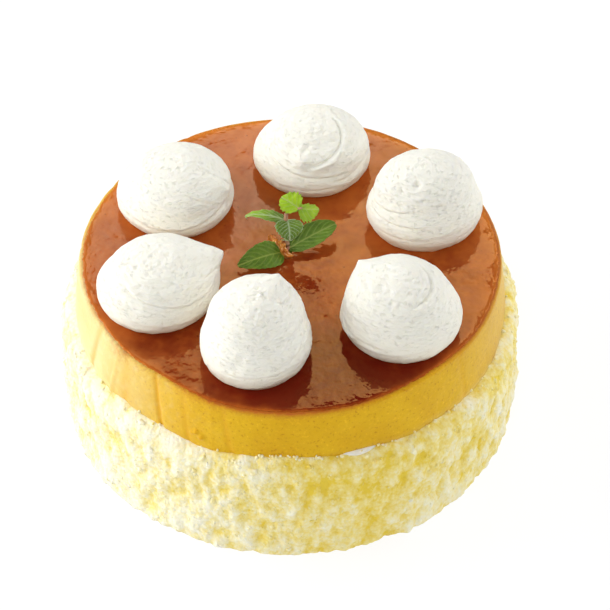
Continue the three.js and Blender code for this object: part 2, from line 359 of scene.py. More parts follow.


# Cream shows white in the bare patches; crumb is painted pale where it stands out and golden in the hollows, as painted
# shade.
crumb_stops = (
    (0.26, (0.95, 0.91, 0.71)), (0.42, (0.93, 0.85, 0.53)), (0.60, (0.89, 0.75, 0.28)), (0.82, (0.82, 0.61, 0.07)),
)
cream_white = (0.93, 0.89, 0.74)
crumb_body = dict(
    Roughness=0.9, IOR=1.15, Subsurface_Weight=0.25, Subsurface_Scale=1.0 * mm, Subsurface_Radius=(1.0, 0.85, 0.5),
)
coat_finish = finish("crumb coat", **crumb_body)
coat_crumb = ramp(coat_finish, crumb_tone_and_shade(coat_finish, "coat_tone_and_shade"), *crumb_stops)
coat_patches = ramp(coat_finish, attribute(coat_finish, "bare"), (0.42, (0, 0, 0)), (0.75, (0.75, 0.75, 0.75)))
coloured(coat_finish, blend(coat_finish, coat_patches, coat_crumb, cream_white))
bumped(coat_finish, crumb_grain(coat_finish), 0.5 * mm)

side_rows, coat_sides = 100, 900
on_the_floor = 1e-5
coat_points = [(0, 0), (0.5 * coat_radius, 0), (0.9 * coat_radius, 0)]
coat_points += [coat_outline(row / side_rows) for row in range(side_rows + 1)]
coat_points += [(foot_radius - 1.5 * mm, coat_top), (0, coat_top)]
lip_way, lip_span = -72, 4  # where the cream lip lies bare, and how broadly, in degrees
coat = turned_round(coat_points, coat_sides)
coat_tone_and_shade, bare = carried(coat, "coat_tone_and_shade", "bare")
for vert in coat.verts:
    reach, angle = polar(vert.co)
    open_lip = hump(angle, lip_way, lip_span)
    if reach < foot_radius - 0.3 * mm and vert.co.z > 0.5 * coat_top:
        vert[coat_tone_and_shade] = 0.4
        continue
    out = crumb_relief(vert.co)
    cream = bare_cream(vert.co)
    # Painted shade in the crumb's tone: low places in the relief are painted more golden, and so is the less lit front
    # and right.
    shade = 0.25 * drift(vert.co * 110 + Vector((9, 1, 4))) + painted_side_shade(vert.co)
    vert[coat_tone_and_shade] = 0.46 + shade - out / (2.5 * mm)
    vert[bare] = cream
    if vert.co.z < on_the_floor:
        if reach > 0.95 * coat_radius:
            vert.co.xy *= 1 + out / reach
        continue
    out = standing_out(vert.co)
    rise = rim_share(vert.co.z)
    aside, lifted = rim_shift(angle, rise)
    sideways = out * (1 - rim_calm * rise) - 0.4 * mm * rise * open_lip + aside
    vert.co.xy *= 1 + sideways / reach
    vert.co.z += 0.3 * rise * out + lifted - 1.0 * mm * rise * open_lip
finished("crumb_coat", coat, coat_finish, ["crumbed_sponge"])

# ---------- the loose crumb
# Sponge rubbed through a sieve: soft lumps and grains that cling to the cream in clumps, with a
# few strayed onto the custard's foot.
crumb_finish = finish("sponge crumb", **crumb_body)
coloured(crumb_finish, ramp(crumb_finish, crumb_tone_and_shade(crumb_finish, "tone_and_shade"), *crumb_stops))
bumped(crumb_finish, crumb_grain(crumb_finish), 0.3 * mm)


def torn_crumb(subdivisions, seed):
    """One ragged crumb a unit across, as arrays of its corners and triangles."""
    bm = bmesh.new()
    ops.create_icosphere(bm, subdivisions=subdivisions, radius=0.5)
    for vert in bm.verts:
        vert.co *= 1 + 0.4 * drift(vert.co * 2.7 + Vector((seed, 0, 0)))
        vert.co *= 1 + 0.2 * drift(vert.co * 6.3 + Vector((0, seed, 0)))
    corners = np.array([vert.co[:] for vert in bm.verts])
    triangles = np.array([[vert.index for vert in face.verts] for face in bm.faces])
    bm.free()
    return corners, triangles


def joined_crumb(name, crumbs, subdivisions, seed):
    """One piece of many crumbs, each given as (place, size, tone with painted shade)."""
    draw = random.Random(seed)
    kinds = [torn_crumb(subdivisions, seed + 3 * kind) for kind in range(6)]
    corners, triangles, tints = [], [], []
    used = 0
    for place, size, tone_and_shade in crumbs:
        shape, faces = kinds[draw.randrange(len(kinds))]
        axis = Vector((draw.gauss(0, 1), draw.gauss(0, 1), draw.gauss(0, 1)))
        turn = np.array(Matrix.Rotation(draw.uniform(0, 6.3), 3, axis))
        stretch = np.diag([draw.uniform(0.75, 1.15), draw.uniform(0.75, 1.15), draw.uniform(0.7, 1.0)])
        made = shape @ stretch @ turn * size + np.array(place)
        made[:, 2] = np.maximum(made[:, 2], 0)
        corners.append(made)
        triangles.append(faces + used)
        used += len(shape)
        tints.append(np.full(len(shape), tone_and_shade))
    mesh = bpy.data.meshes.new(name)
    mesh.from_pydata(np.concatenate(corners), [], np.concatenate(triangles).tolist())
    hue = mesh.attributes.new("tone_and_shade", "FLOAT", "POINT")
    hue.data.foreach_set("value", np.concatenate(tints))
    piece = smooth_piece(name, mesh, crumb_finish)
    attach(piece, "root")


def clinging(count, size, proud, seed):
    """Crumbs of about one size stuck all round the coat, standing a share of it proud, thickest on its clumps."""
    draw = random.Random(seed)
    crumbs = []
    while len(crumbs) < count:
        angle = draw.uniform(0, 2 * pi)
        radius, z = coat_outline(draw.uniform(0.0, 0.92))
        spot = Vector((radius * cos(angle), radius * sin(angle), z))
        if bare_cream(spot) > 0.42 + draw.gauss(0, 0.05):
            continue
        relief = standing_out(spot)
        if draw.random() > 0.7 + 0.5 * relief / mm:
            continue
        across = size * draw.uniform(0.65, 1.4)
        rise = rim_share(z)
        aside, lifted = rim_shift(angle, rise)
        radius += (relief + proud * across) * (1 - rim_calm * rise) + aside
        z = max(z + rise * (0.3 * relief + 0.9 * proud * across) + lifted, 0.4 * across)
        # Painted shade: crumbs low in the relief are painted more golden, and the painted side shade is added.
        tone_and_shade = 0.38 - 0.35 * relief / mm + 0.25 * drift(spot * 110 + Vector((9, 1, 4)))
        tone_and_shade += painted_side_shade(spot) + draw.gauss(0, 0.1)
        place = (radius * cos(angle), radius * sin(angle), z)
        crumbs.append((place, across, held(tone_and_shade)))
    return crumbs


def strayed(seed):
    """A few small crumbs pressed against the custard's foot, in groups of (way round, spread, how many)."""
    draw = random.Random(seed)
    crumbs = []
    for middle, spread, count in ((-88, 5, 16), (-97, 6, 8), (-66, 10, 8), (-35, 9, 7), (-50, 8, 6), (80, 90, 30)):
        for _ in range(count):
            angle = radians(draw.gauss(middle, spread))
            across = draw.uniform(0.7, 1.5) * mm
            radius = foot_radius + draw.uniform(0.8, 1.7) * mm + 0.3 * edge_stray(angle)
            z = rim_top + rim_rise(angle) + draw.uniform(-0.5, 0.9) * mm
            crumbs.append(((radius * cos(angle), radius * sin(angle), z), across, draw.uniform(0.2, 0.6)))
    return crumbs


lump_crumbs = clinging(count=160, size=3.0 * mm, proud=-0.36, seed=11)
grain_crumbs = clinging(count=900, size=1.4 * mm, proud=-0.26, seed=12) + strayed(seed=14)
joined_crumb("crumb_lumps", lump_crumbs, subdivisions=3, seed=21)
joined_crumb("crumb_grains", grain_crumbs, subdivisions=2, seed=22)

# ---------- the cream bed
# Whipped cream spread on the sponge to seat the custard. The custard's weight has squeezed it
# out in a soft uneven lip, which the crumb hides nearly all round.
cream_finish = finish(
    "whipped cream", Roughness=0.6, IOR=1.3,
    Subsurface_Weight=0.4, Subsurface_Scale=2.0 * mm, Subsurface_Radius=(1.0, 0.9, 0.7),
)
# Painted shade and warm bounce light: the cream is painted darker and warmer towards its foot.
coloured(cream_finish, blend(cream_finish, attribute(cream_finish, "foot"), (0.95, 0.925, 0.83), (0.80, 0.70, 0.46)))
cream_pores = ramp(cream_finish, speckle(cream_finish, 620, 3, 0.65, (1, 1, 2.6)), (0.30, (0, 0, 0)), (0.42, (1, 1, 1)))
cream_streak = speckle(cream_finish, 240, 5, 0.65, (1, 1, 4.0))
bumped(cream_finish, total(cream_finish, (cream_pores, 0.45), (cream_streak, 0.95)), 0.62 * mm)

bed_low, bed_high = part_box("cream_bed")
bed_radius = foot_radius - 0.9 * mm
custard_foot = bed_high.z


def squeezed_out(angle):
    """How far the lip stands past the custard at an angle, in metres."""
    wave = 0.4 * drift(Vector((cos(angle), sin(angle), 0)) * 5)
    return (wave + 3.0 * hump(angle, lip_way, lip_span + 1)) * mm


bed_points = [(0, bed_low.z), (0.9 * bed_radius, bed_low.z)]
bed_points += [
    (bed_radius - 0.9 * mm + 1.2 * mm * sin(turn), (bed_low.z + bed_high.z) / 2 - 0.75 * mm * cos(turn))
    for turn in (pi * step / 8 for step in range(9))
]
bed_points += [(0.9 * bed_radius, bed_high.z), (0, bed_high.z)]
bed_sides = 420
bed = turned_round(bed_points, bed_sides)
for vert in bed.verts:
    reach, angle = polar(vert.co)
    if reach > 0.95 * bed_radius:
        out = squeezed_out(angle) + 0.35 * mm * drift(vert.co * 260)
        vert.co.xy *= 1 + out / reach
        vert.co.z -= 0.9 * mm
finished("cream_bed_lip", bed, cream_finish, ["cream_bed"])

# ---------- the custard layer
# Baked egg custard turned out of its paper-lined tin: smooth and dense, with the paper's creases
# down the side, fine pores, and the caramel's brown soaked into its upper edge. It spreads a
# little towards its foot, which has sunk into the coat's rim.
caramel_low, caramel_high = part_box("caramel_layer")
custard_radius = (custard_high.x - custard_low.x) / 2
cake_top = caramel_high.z
custard_top = cake_top - 0.6 * mm
custard_sunk = 6 * mm

# Creases as (angle at the foot, angle at the top, depth in mm, width in degrees).
paper_creases = (
    (234.5, 230.8, 0.55, 0.7), (216.1, 217.6, -0.35, 0.8), (222.0, 220.5, 0.2, 1.6),
    (254.8, 252.0, 0.22, 0.8), (243.0, 240.5, 0.2, 0.9), (205.0, 207.5, 0.3, 1.2), (250.0, 249.0, -0.15, 0.9),
    (30.0, 33.0, 0.4, 1.0), (75.0, 73.5, -0.3, 1.1), (118.0, 121.0, 0.45, 0.9),
    (151.0, 150.0, 0.3, 1.4), (-38.0, -39.0, 0.15, 1.0), (172.0, 175.0, 0.35, 1.0),
)


def custard_share(z):
    """How far up the custard a height is: 0 at its foot, 1 at its top."""
    return (z - custard_foot) / (custard_top - custard_foot)


def creased(angle, z):
    """How far the paper's creases push the custard's side in, in metres."""
    up = custard_share(z)
    depth = 0
    for foot, top, deep, wide in paper_creases:
        depth += 1.6 * deep * hump(angle, foot + (top - foot) * up, wide) * (1 - 0.5 * up)
    return depth * mm


def pressed_in(angle):
    """How far the custard leans in at the top of its front, in metres."""
    return 0.7 * mm * hump(angle, -95, 35)


custard_finish = finish(
    "baked custard", Roughness=0.45, IOR=1.22, Sheen_Weight=0.12, Sheen_Roughness=0.4,
    Subsurface_Weight=0.3, Subsurface_Scale=2.0 * mm, Subsurface_Radius=(1.0, 0.6, 0.15),
)
custard_hue = ramp(
    custard_finish, speckle(custard_finish, 60),
    (0.3, (0.68, 0.38, 0.003)), (0.7, (0.77, 0.47, 0.008)),
)
custard_pores = ramp(
    custard_finish, speckle(custard_finish, 900),
    (0.30, (0.80, 0.66, 0.4)), (0.42, (1, 1, 1)), (0.58, (1, 1, 1)), (0.74, (1.18, 1.26, 3.0)),
)
custard_hue = blend(custard_finish, 1.0, custard_hue, custard_pores, "MULTIPLY")
# A painted pale sheen on the side, with pale flecks at the torn edge.
custard_hue = blend(custard_finish, attribute(custard_finish, "painted_sheen_and_flecks"), custard_hue, (0.85, 0.745, 0.38))
# Painted shade in the paper's creases, and the darker orange of the bits stuck to the side.
custard_hue = blend(custard_finish, attribute(custard_finish, "crease_shade_and_bits"), custard_hue, (0.74, 0.36, 0.006))
custard_soak = ramp(
    custard_finish,
    total(custard_finish, (attribute(custard_finish, "soak"), 1.0), (speckle(custard_finish, 1300, 3, 0.7), 0.5)),
    (0.3, (0, 0, 0)), (1.0, (1, 1, 1)),
)
coloured(custard_finish, blend(custard_finish, custard_soak, custard_hue, (0.50, 0.14, 0.015)))
bumped(custard_finish, speckle(custard_finish, 1000), 0.18 * mm, 0.8)

custard_rows, custard_sides = 46, 720
corner = 1.25 * mm
corner_rise = 1.0 * mm
side_foot = custard_foot - custard_sunk
side_top = custard_top - corner_rise
custard_points = [(0, side_foot), (custard_radius, side_foot)]
for row in range(custard_rows + 1):
    z = side_foot + 0.3 * mm + (side_top - side_foot - 0.3 * mm) * row / custard_rows
    up = max(0, custard_share(z))
    custard_points.append((custard_radius + (1.1 * (1 - up) ** 1.5 - 0.1 - 1.1 * up * up) * mm, z))
shoulder_radius = custard_points[-1][0]
for step in range(1, 9):
    turn = step / 8 * pi / 2
    custard_points.append(
        (shoulder_radius - corner + corner * cos(turn), custard_top - corner_rise + corner_rise * sin(turn))
    )
custard_points += [(0.9 * custard_radius, custard_top), (0, custard_top)]
# Small bits stuck to the side as (way round in degrees, height in mm, size in mm).
stuck_bits = ((246.9, 49.6, 1.0), (245.3, 51.0, 0.8), (244.2, 50.1, 0.6))
custard = turned_round(custard_points, custard_sides)
soak, painted_sheen_and_flecks, crease_shade_and_bits = carried(custard, "soak", "painted_sheen_and_flecks", "crease_shade_and_bits")
for vert in custard.verts:
    reach, angle = polar(vert.co)
    up = held(custard_share(vert.co.z))
    top_stray = edge_stray(angle) * (0.3 + 0.7 * up) - pressed_in(angle) * up * up
    torn = hump(angle, 222, 22)
    fringe = drift(vert.co * 800) * (0.4 + 1.1 * torn) + drift(vert.co * 150) * (0.4 + 0.8 * torn)
    depth = (custard_top - vert.co.z) / mm
    skin = hump(angle, -20, 40) * exp(-abs(vert.co.z - rim_top - rim_rise(angle) - 0.8 * mm) / (0.8 * mm))
    away = hypot(depth, (reach - edge_stray(angle) - shoulder_radius + corner) / mm)
    stain = exp(-away / (1.1 + 0.8 * torn)) + 0.6 * fringe * exp(-away / (0.9 + 1.6 * torn))
    vert[soak] = held(stain * (1 - 0.7 * hump(angle, 160, 45)) + 0.1 * skin)
    # Painted sheen: paler on the left, a little on the right front and along the skin at the foot, as a painted
    # highlight; pale flecks are added at the torn edge.
    pale = hump(angle, 193, 28) + 0.05 * hump(angle, -20, 22) + 0.35 * skin
    vert[painted_sheen_and_flecks] = min(1, pale * (1 + 0.5 * drift(vert.co * 60)) + 0.25 * torn * max(0, drift(vert.co * 420)))
    stuck = 0
    for middle, height, size in stuck_bits:
        apart = radians(degrees_past(angle, middle)) * custard_radius / mm
        from_bit = hypot(apart, vert.co.z / mm - height) / size
        stuck += size * exp(-from_bit * from_bit)
    # The creases get painted shade and the stuck bits their darker orange.
    vert[crease_shade_and_bits] = min(0.7, max(0, creased(angle, vert.co.z) / (0.8 * mm) + 0.5 * stuck))
    if reach > 0.92 * custard_radius:
        out = top_stray - creased(angle, vert.co.z) + 1.5 * stuck * mm
        out += 0.12 * mm * drift(vert.co * 190) + 0.05 * mm * drift(vert.co * 700)
        vert.co.xy *= 1 + out / reach
finished("custard_round", custard, custard_finish, ["custard_layer"])

# ---------- the caramel layer
# Dark caramel set as a thin firm jelly over the custard. Its skin is glossy but not dead flat:
# it ripples a little, has a few dimples, and falls off a little at the tin's edge, where it is
# thin. Its colour carries painted light and shade: orange and lighter at the back, the sides and
# the thin back rim, deep and dark in front and round the stem, with a painted lighter red along
# the front edge.
caramel_radius = (caramel_high.x - caramel_low.x) / 2 + 0.05 * mm
glaze_foot = custard_top
lip = 0.35 * mm
lip_foot = custard_top - 0.25 * mm
stem_shade_reach = 0.02  # how far from the stem the caramel is painted darker, as the sprig's painted shade

caramel_finish = finish(
    "caramel jelly", Roughness=0.06, IOR=1.46,
    Subsurface_Weight=0.1, Subsurface_Scale=1.0 * mm, Subsurface_Radius=(1.0, 0.25, 0.08),
)
# The colour carries painted light and shade: dark red where painted shaded, orange where painted lit.
caramel_light_and_thinness = attribute(caramel_finish, "thinness_and_painted_light")
caramel_hue = ramp(
    caramel_finish, caramel_light_and_thinness,
    (0.1, (0.15, 0.009, 0.004)), (0.3, (0.24, 0.034, 0.007)), (0.5, (0.40, 0.085, 0.014)),
    (0.8, (0.54, 0.145, 0.022)), (1.0, (0.66, 0.20, 0.03)),
)
caramel_gleam = ramp(
    caramel_finish, attribute(caramel_finish, "pale_gleam"),
    (0.1, (1, 0.45, 0.0)), (0.4, (1, 0.52, 0.04)), (0.6, (1, 0.66, 0.32)), (0.9, (1, 0.68, 0.34)),
)
feed(caramel_finish, "Specular Tint", caramel_gleam)
caramel_flecks = ramp(
    caramel_finish, speckle(caramel_finish, 700), (0.26, (0.6, 0.5, 0.5)), (0.34, (1, 1, 1)),
)
coloured(caramel_finish, blend(caramel_finish, 1.0, caramel_hue, caramel_flecks, "MULTIPLY"))
rough_patches = ramp(caramel_finish, speckle(caramel_finish, 75, 2, 0.5), (0.42, (0.1, 0.1, 0.1)), (0.62, (1, 1, 1)))
caramel_ripple = total(
    caramel_finish, (speckle(caramel_finish, 38, 1, 0.4), 1.4), (speckle(caramel_finish, 190, 2, 0.5), 0.5),
    (blend(caramel_finish, 1.0, speckle(caramel_finish, 560, 2, 0.5), rough_patches, "MULTIPLY"), 0.13),
)
bumped(caramel_finish, caramel_ripple, 0.55 * mm)

# Dimples as (x, y, radius, depth), all in mm.
dimples = (
    (-13.5, 8.5, 1.6, 0.10), (-65.5, 11.0, 1.8, 0.12), (-63.0, 15.0, 1.4, 0.10), (-68.0, 4.0, 1.5, 0.08),
    (-11.0, 6.0, 1.2, 0.07), (-61.0, 6.0, 1.3, 0.09), (8.0, 38.0, 1.5, 0.06), (12.0, -31.0, 1.6, 0.08),
    (25.0, -8.0, 1.4, 0.07), (-30.0, 62.0, 2.0, 0.12), (62.0, -2.0, 1.6, 0.08), (30.0, 62.0, 1.8, 0.10),
)
caramel_points = [(0, glaze_foot), (caramel_radius - 1.5 * lip, glaze_foot), (caramel_radius - 0.3 * mm, lip_foot)]
caramel_points += [
    (caramel_radius - lip + (lip + 0.05 * mm) * cos(turn), lip_foot + (cake_top - lip_foot) * sin(turn))
    for turn in (pi / 2 * step / 8 for step in range(9))
]
caramel_points += [((caramel_radius - lip) * (1 - step / 90), cake_top) for step in range(1, 91)]
caramel = turned_round(caramel_points, custard_sides)
thinness_and_painted_light, pale_gleam = carried(caramel, "thinness_and_painted_light", "pale_gleam")
for vert in caramel.verts:
    reach, angle = polar(vert.co)
    backward = vert.co.y / caramel_radius
    aside = vert.co.x / caramel_radius
    cloud = 0.14 * drift(vert.co * 60) + 0.10 * drift(vert.co * 200) + 0.06 * drift(vert.co * 600)
    from_edge = caramel_radius - reach
    # Painted light: the thin rim is painted lighter orange, most at the back, for light shining through it.
    rim = exp(-from_edge / (2.6 * mm))
    # Painted light and shade over the disc: lighter at the back, darker in front, most at the front right, and darker
    # round the stem.
    deep = 0.48 + 0.08 * backward - max(0, -backward) * (0.4 + 0.4 * min(0, aside))
    deep -= 0.08 * exp(-((reach / stem_shade_reach) ** 2))
    # A painted highlight: lighter red along the front edge of the lip.
    painted_red_lip = 0.5 * exp(-from_edge / (1.1 * mm)) * max(0, -backward)
    vert[thinness_and_painted_light] = held(deep + cloud + rim * (0.42 + 0.45 * backward) + painted_red_lip)
    vert[pale_gleam] = held(0.35 - 0.5 * aside + 0.5 * backward + cloud)
    if reach > 0.8 * caramel_radius:
        ragged = 0.3 * drift(vert.co * 300) + 0.5 * drift(vert.co * 900)
        near = held((reach / caramel_radius - 0.985) / 0.01)
        stray = edge_stray(angle) - pressed_in(angle)
        outer = (reach / caramel_radius - 0.8) / 0.2
        vert.co.xy *= 1 + (stray * outer ** 2 + ragged * near * mm) / reach
    if reach > caramel_radius - 0.1 * mm and vert.co.z < lip_foot + 0.1 * mm:
        vert.co.z += 0.3 * mm * drift(vert.co * 420)
    if vert.co.z > cake_top - 0.1 * mm:
        vert.co.z -= 0.25 * mm * exp(-max(0, from_edge) / (2.5 * mm)) * (0.6 + 0.4 * backward)
        vert.co.z += 0.12 * mm * drift(vert.co * 700) * exp(-max(0, from_edge) / (0.6 * mm))
        vert.co.z += (0.05 * drift(vert.co * 70) - 0.02) * mm
        from_stem = hypot(vert.co.x / mm - 1, vert.co.y / mm + 3) / 13
        if from_stem < 2.5:
            vert.co.z += 0.15 * mm * drift(vert.co * 330) * exp(-from_stem * from_stem)
        for x, y, radius, depth in dimples:
            apart = hypot(vert.co.x / mm - x, vert.co.y / mm - y) / radius
            if apart < 3:
                vert.co.z -= depth * mm * exp(-apart * apart)
finished("caramel_glaze", caramel, caramel_finish, ["caramel_layer"])

# ---------- the whipped cream dollops
# Six rounds of whipped cream piped from a plain nozzle in a ring, each a broad skirt, a crown and
# a cap laid over one another, and pulled off in a peak that points at the middle of the cake.
# Sizes are in mm and ways of pointing in degrees from the peak's way round. A fold is (way, lift
# and opening of its circle, from, to, depth); below zero its lip is outside. A hollow is (way,
# lift, radius, depth), and one of negative depth is a swelling.
dollops = {
    "cream_dollop_1": dict(
        foot=(-42.2, 27.8), long=21.4, wide=21.2, height=20.6, peak=-22, lift=20, reach=2.2, spread=0.22,
        crown=(1.4, 0.8), cap=(2.5, 1.0), pores=30,
        folds=(
            (-76, 75, 80, -114, 1, 0.6), (39, 57, 63, -49, -12, 0.3), (43, 29, 32, -2, 18, 0.3),
            (-4, 90, 97, -84, 56, 0.2),
        ),
        hollows=((-21, 33, 5, 0.7), (-49, 60, 6, 0.4), (0, 51, 0.7, 0.4), (-30, 12, 0.8, 0.4), (2, 14, 1.6, -0.5)),
    ),
    "cream_dollop_2": dict(
        foot=(7.7, 49.2), long=20.8, wide=21.7, height=20.6, peak=-102, lift=26, reach=2.0, spread=0.2,
        crown=(-0.5, 1.8), cap=(-1.5, 3.2), pores=16,
        folds=(
            (51, 82, 77, -44, 51, 0.6), (-8, 68, 50, 11, 121, -0.8), (49, 50, 51, 31, 101, -0.5),
            (-4, 86, 92, -39, 41, 0.2),
        ),
        hollows=(
            (0, 37, 1.3, 0.9), (5, 43, 1.2, 0.8), (29, 42, 4.2, 0.8), (-19, 44, 3, 0.45), (27, 74, 0.8, 0.5),
            (59, 61, 0.6, 0.3), (91, 8, 5, -0.5),
        ),
    ),
    "cream_dollop_3": dict(
        foot=(49.0, 19.8), long=21.4, wide=19.6, height=24.6, peak=205, lift=40, reach=0.8, spread=0.4,
        crown=(-0.9, -2.2), cap=(-2.5, -1.0), pores=22,
        folds=(
            (-9, 85, 80, -28, 62, 0.7), (-21, 70, 59, -18, 42, 0.5), (40, 79, 75, 42, 72, 0.2),
            (22, 86, 92, -18, 102, 0.2),
        ),
        hollows=(
            (37, 61, 1.3, 1.1), (-95, 68, 0.7, 0.4), (-37, 66, 0.7, 0.4), (121, 59, 0.8, 0.4),
            (100, 50, 0.8, 0.4), (57, 40, 0.9, 0.45), (85, 40, 0.8, 0.35), (20, 36, 4.5, 0.5),
            (-13, 22, 4, -0.6), (-61, 32, 1.5, 0.4),
        ),
    ),
    "cream_dollop_4": dict(
        foot=(39.2, -34.1), long=21.2, wide=21.3, height=24.0, peak=141, lift=29, reach=2.8, spread=0.14,
        crown=(1.7, 0.0), cap=(1.0, -1.1), pores=26,
        folds=(
            (84, 81, 45, 144, 269, -0.6), (74, 80, 35, 169, 249, -0.3), (29, 72, 86, 34, 84, 0.5),
            (89, 80, 84, 44, 114, 0.3), (64, 84, 96, 44, 144, 0.2),
        ),
        hollows=(
            (66, 58, 1.6, 0.8), (91, 60, 1.5, 0.7), (46, 44, 1.1, 0.6), (19, 34, 0.7, 0.5), (-6, 78, 1.1, 0.5),
            (-6, 63, 0.9, 0.4), (107, 47, 0.8, 0.5), (122, 46, 0.8, 0.45), (155, 47, 0.9, 0.5),
            (182, 28, 0.8, 0.3), (129, 30, 1, 0.35),
        ),
    ),
    "cream_dollop_5": dict(
        foot=(-11.6, -47.9), long=20.1, wide=19.2, height=28.1, peak=55, lift=50, reach=2.7, spread=0.18,
        crown=(2.2, 1.5), cap=(2.4, 0.1), pores=80,
        folds=(
            (-114, 59, 58, -107, -63, 0.5), (-23, 64, 18, -65, -15, -0.6), (-108, 84, 60, -120, -70, 0.2),
            (5, 90, 98, -175, -55, 0.3),
        ),
        hollows=(
            (-45, 63, 2.6, 0.8), (21, 52, 1, 0.5), (-61, 57, 0.9, 0.5), (-83, 56, 0.9, 0.45),
            (-126, 57, 1, 0.5), (-142, 46, 1.1, 0.45), (-148, 65, 0.8, 0.4), (-125, 42, 0.9, 0.4),
            (-165, 4, 2.2, 0.5), (-160, 12, 1.4, 0.5),
        ),
    ),
    "cream_dollop_6": dict(
        foot=(-47.1, -20.1), long=21.4, wide=20.9, height=20.4, peak=15.5, lift=19, reach=6.3, spread=0.28,
        crown=(1.2, 0.3), cap=(2.5, 1.0), pores=46,
        folds=(
            (-43.5, 74, 68, -147.5, -27.5, 0.7), (74.5, 73, 75, -39.5, -11.5, 0.5),
            (-89.5, 29, 80, 5.5, 52.5, 0.3), (-7.5, 84, 97, -127.5, -17.5, 0.2),
        ),
        hollows=(
            (-19.5, 34, 4.5, 0.8), (-7.5, 12, 2, 0.6), (42.5, 73, 0.9, 0.5), (-174.5, 83, 0.9, 0.5),
            (-23.5, 71, 0.8, 0.4), (-155.5, 72, 0.8, 0.4), (-161.5, 55, 0.9, 0.5), (-120.5, 54, 1, 0.5),
            (-82.5, 59, 0.8, 0.4), (-59.5, 46, 0.9, 0.4), (-77.5, 36, 1.1, 0.5), (-97.5, 30, 0.9, 0.4),
            (-127.5, 8, 2.4, 0.4),
        ),
    ),
}


def way(azimuth, lift):
    """A unit vector at an azimuth and a lift, in degrees."""
    azimuth, lift = radians(azimuth), radians(lift)
    return Vector((cos(lift) * cos(azimuth), cos(lift) * sin(azimuth), sin(lift)))


def far_side(lobe, ray):
    """How far along a ray from the heart the far side of an ellipsoid lobe lies."""
    off, radii, beyond = lobe
    x, y, z = ray.x / radii[0], ray.y / radii[1], ray.z / radii[2]
    a = x * x + y * y + z * z
    b = off[0] * x + off[1] * y + off[2] * z
    return (-b + sqrt(b * b - a * beyond)) / a


def fold_step(ray, axis, opening, start, end, depth):
    """The lip and groove of one fold, in mm, at a ray."""
    across = degrees(acos(max(-1, min(1, axis.dot(ray))))) - opening
    if abs(across) > 11:
        return 0
    off = abs(degrees_past(atan2(ray.y, ray.x), (start + end) / 2))
    ends = held(((end - start) / 2 - off) / 14 + 0.3)
    if depth < 0:
        across, depth = -across, -depth
    lip_and_groove = 0.6 * exp(-((across + 3.2) / 3.0) ** 2) - exp(-((across - 0.4) / 1.3) ** 2)
    return 1.3 * depth * ends * lip_and_groove


dollop_rings, dollop_sides = 170, 240
nearest_skin = 14  # mm from a dollop's heart to its skin at the least
underneath = -0.75  # rays steeper down than this end well below the cut
for number, (node_name, sizes) in enumerate(dollops.items()):
    height, long, wide = sizes["height"], sizes["long"], sizes["wide"]
    heart = Vector((0, 0, 0.4 * height))
    lobes = []
    for (x, y), up, across, tall in (
        ((0, 0), 0.28, 1.0, 0.54), (sizes["crown"], 0.52, 0.88, 0.49), (sizes["cap"], 0.66, 0.62, 0.37),
    ):
        radii = (across * long, across * wide, tall * height)
        off = (-x / radii[0], -y / radii[1], (heart.z - up * height) / radii[2])
        lobes.append((off, radii, off[0] ** 2 + off[1] ** 2 + off[2] ** 2 - 1))
    draw = random.Random(number)
    arcs = [(way(az, el), *rest) for az, el, *rest in sizes["folds"]]
    dents = [(way(az, el), radius, depth) for az, el, radius, depth in sizes["hollows"]]
    for _ in range(sizes["pores"]):
        size = draw.uniform(0.35, 0.65)
        dents.append((way(draw.uniform(-180, 180), draw.uniform(5, 88)), size, 0.7 * size * draw.uniform(0.5, 1)))
    dents = [(spot, cos(min(1.2, 3 * size / nearest_skin)), size, depth) for spot, size, depth in dents]
    peak = way(0, sizes["lift"])
    shift = Vector((17.3 * number + 4, 5.1 * number, 2.7))
    dollop = bmesh.new()
    ops.create_uvsphere(dollop, u_segments=dollop_sides, v_segments=dollop_rings, radius=1)
    painted_foot_shade, = carried(dollop, "foot")
    ops.rotate(
        dollop, verts=dollop.verts, cent=(0, 0, 0),
        matrix=Matrix.Rotation(radians(90 - sizes["lift"]), 3, "Y"),
    )
    for vert in dollop.verts:
        ray = vert.co.normalized()
        if ray.z < underneath:
            vert.co = (heart + ray * 2 * height) * mm
            continue
        reaches = [far_side(lobe, ray) for lobe in lobes]
        most = max(reaches)
        radius = most + 0.5 * log(sum(exp((reach - most) / 0.5) for reach in reaches))
        radius += sizes["reach"] * exp(-((peak.angle(ray) / sizes["spread"]) ** 1.2))
        for axis, opening, start, end, depth in arcs:
            radius += fold_step(ray, axis, opening, start, end, depth)
        for spot, near, size, depth in dents:
            closeness = spot.dot(ray)
            if closeness > near:
                radius -= depth * exp(-2 * (1 - closeness) * (radius / size) ** 2)
        layers = Vector((ray.x * 1.6, ray.y * 1.6, ray.z * 10)) + shift
        radius += 0.22 * drift(layers) + 0.12 * drift(layers * 2.3) + 0.05 * drift(layers * 5)
        radius += 0.2 * drift(ray * 2.4 + shift) + 0.16 * drift(ray * 9 + shift)
        vert.co = (heart + ray * radius) * mm
        # Painted shade: how near the foot the cream is, for its darker, warmer colour there.
        vert[painted_foot_shade] = exp(-max(0, vert.co.z) / (4.5 * mm))
    ops.bisect_plane(
        dollop, geom=dollop.verts[:] + dollop.edges[:] + dollop.faces[:], dist=1e-7,
        plane_co=(0, 0, -0.25 * mm), plane_no=(0, 0, -1), clear_outer=True,
    )
    ops.holes_fill(dollop, edges=[e for e in dollop.edges if e.is_boundary], sides=0)
    ops.rotate(
        dollop, verts=dollop.verts, cent=(0, 0, 0),
        matrix=Matrix.Rotation(radians(sizes["peak"]), 3, "Z"),
    )
    foot = Vector((sizes["foot"][0] * mm, sizes["foot"][1] * mm, cake_top))
    ops.translate(dollop, verts=dollop.verts, vec=foot)
    ops.recalc_face_normals(dollop, faces=dollop.faces)
    finished("piped_" + node_name, dollop, cream_finish, [node_name])

